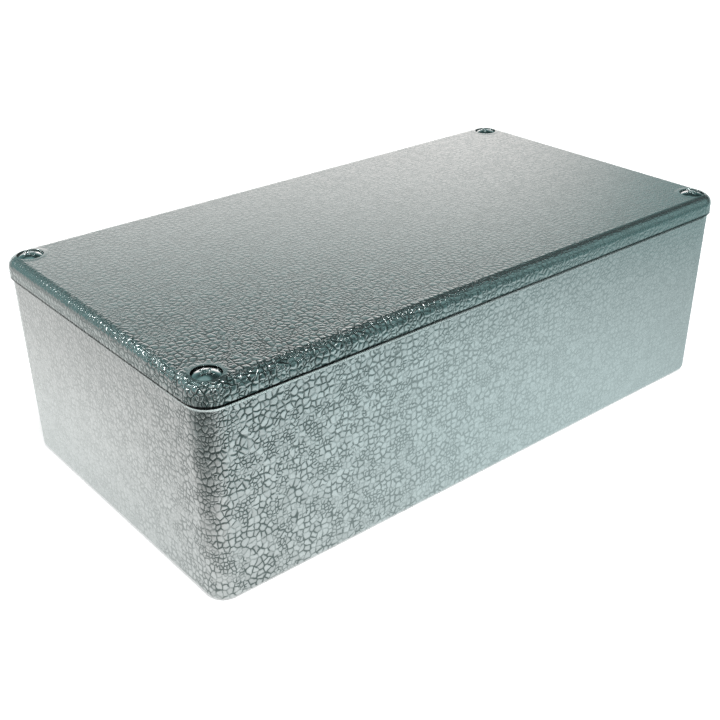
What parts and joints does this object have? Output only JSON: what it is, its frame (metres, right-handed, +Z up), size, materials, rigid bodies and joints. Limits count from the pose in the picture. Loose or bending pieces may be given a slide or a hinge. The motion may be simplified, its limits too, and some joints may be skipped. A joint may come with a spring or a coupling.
{
  "type": "die cast aluminium box",
  "caption": "Rectangular die cast aluminium box with drafted walls and a flanged lid held down by raised countersunk screws at its corners.",
  "frame": {"origin": "middle of the underside", "axes": "+X along the length, +Y across the width, +Z up through the lid"},
  "size_m": [0.15, 0.0804, 0.0482],
  "materials": {
    "painted_casting": "grey hammertone paint, semi-gloss",
    "plated_screw": "bright plated, satin"
  },
  "bodies": {
    "base": {"box": "painted_casting"},
    "cover": {"lid": "painted_casting"},
    "front_left_screw": {"screw_front_left": "plated_screw"},
    "front_right_screw": {"screw_front_right": "plated_screw"},
    "back_left_screw": {"screw_back_left": "plated_screw"},
    "back_right_screw": {"screw_back_right": "plated_screw"}
  },
  "joints": [
    {"name": "lid_lift", "type": "slide", "parent": "base", "child": "cover", "axis": [0, 0, 1], "range_m": [0, 0.06]},
    {"name": "front_left_screw_out", "type": "slide", "parent": "cover", "child": "front_left_screw", "axis": [0, 0, 1], "range_m": [0, 0.014]},
    {"name": "front_right_screw_out", "type": "slide", "parent": "cover", "child": "front_right_screw", "axis": [0, 0, 1], "range_m": [0, 0.014]},
    {"name": "back_left_screw_out", "type": "slide", "parent": "cover", "child": "back_left_screw", "axis": [0, 0, 1], "range_m": [0, 0.014]},
    {"name": "back_right_screw_out", "type": "slide", "parent": "cover", "child": "back_right_screw", "axis": [0, 0, 1], "range_m": [0, 0.014]}
  ]
}
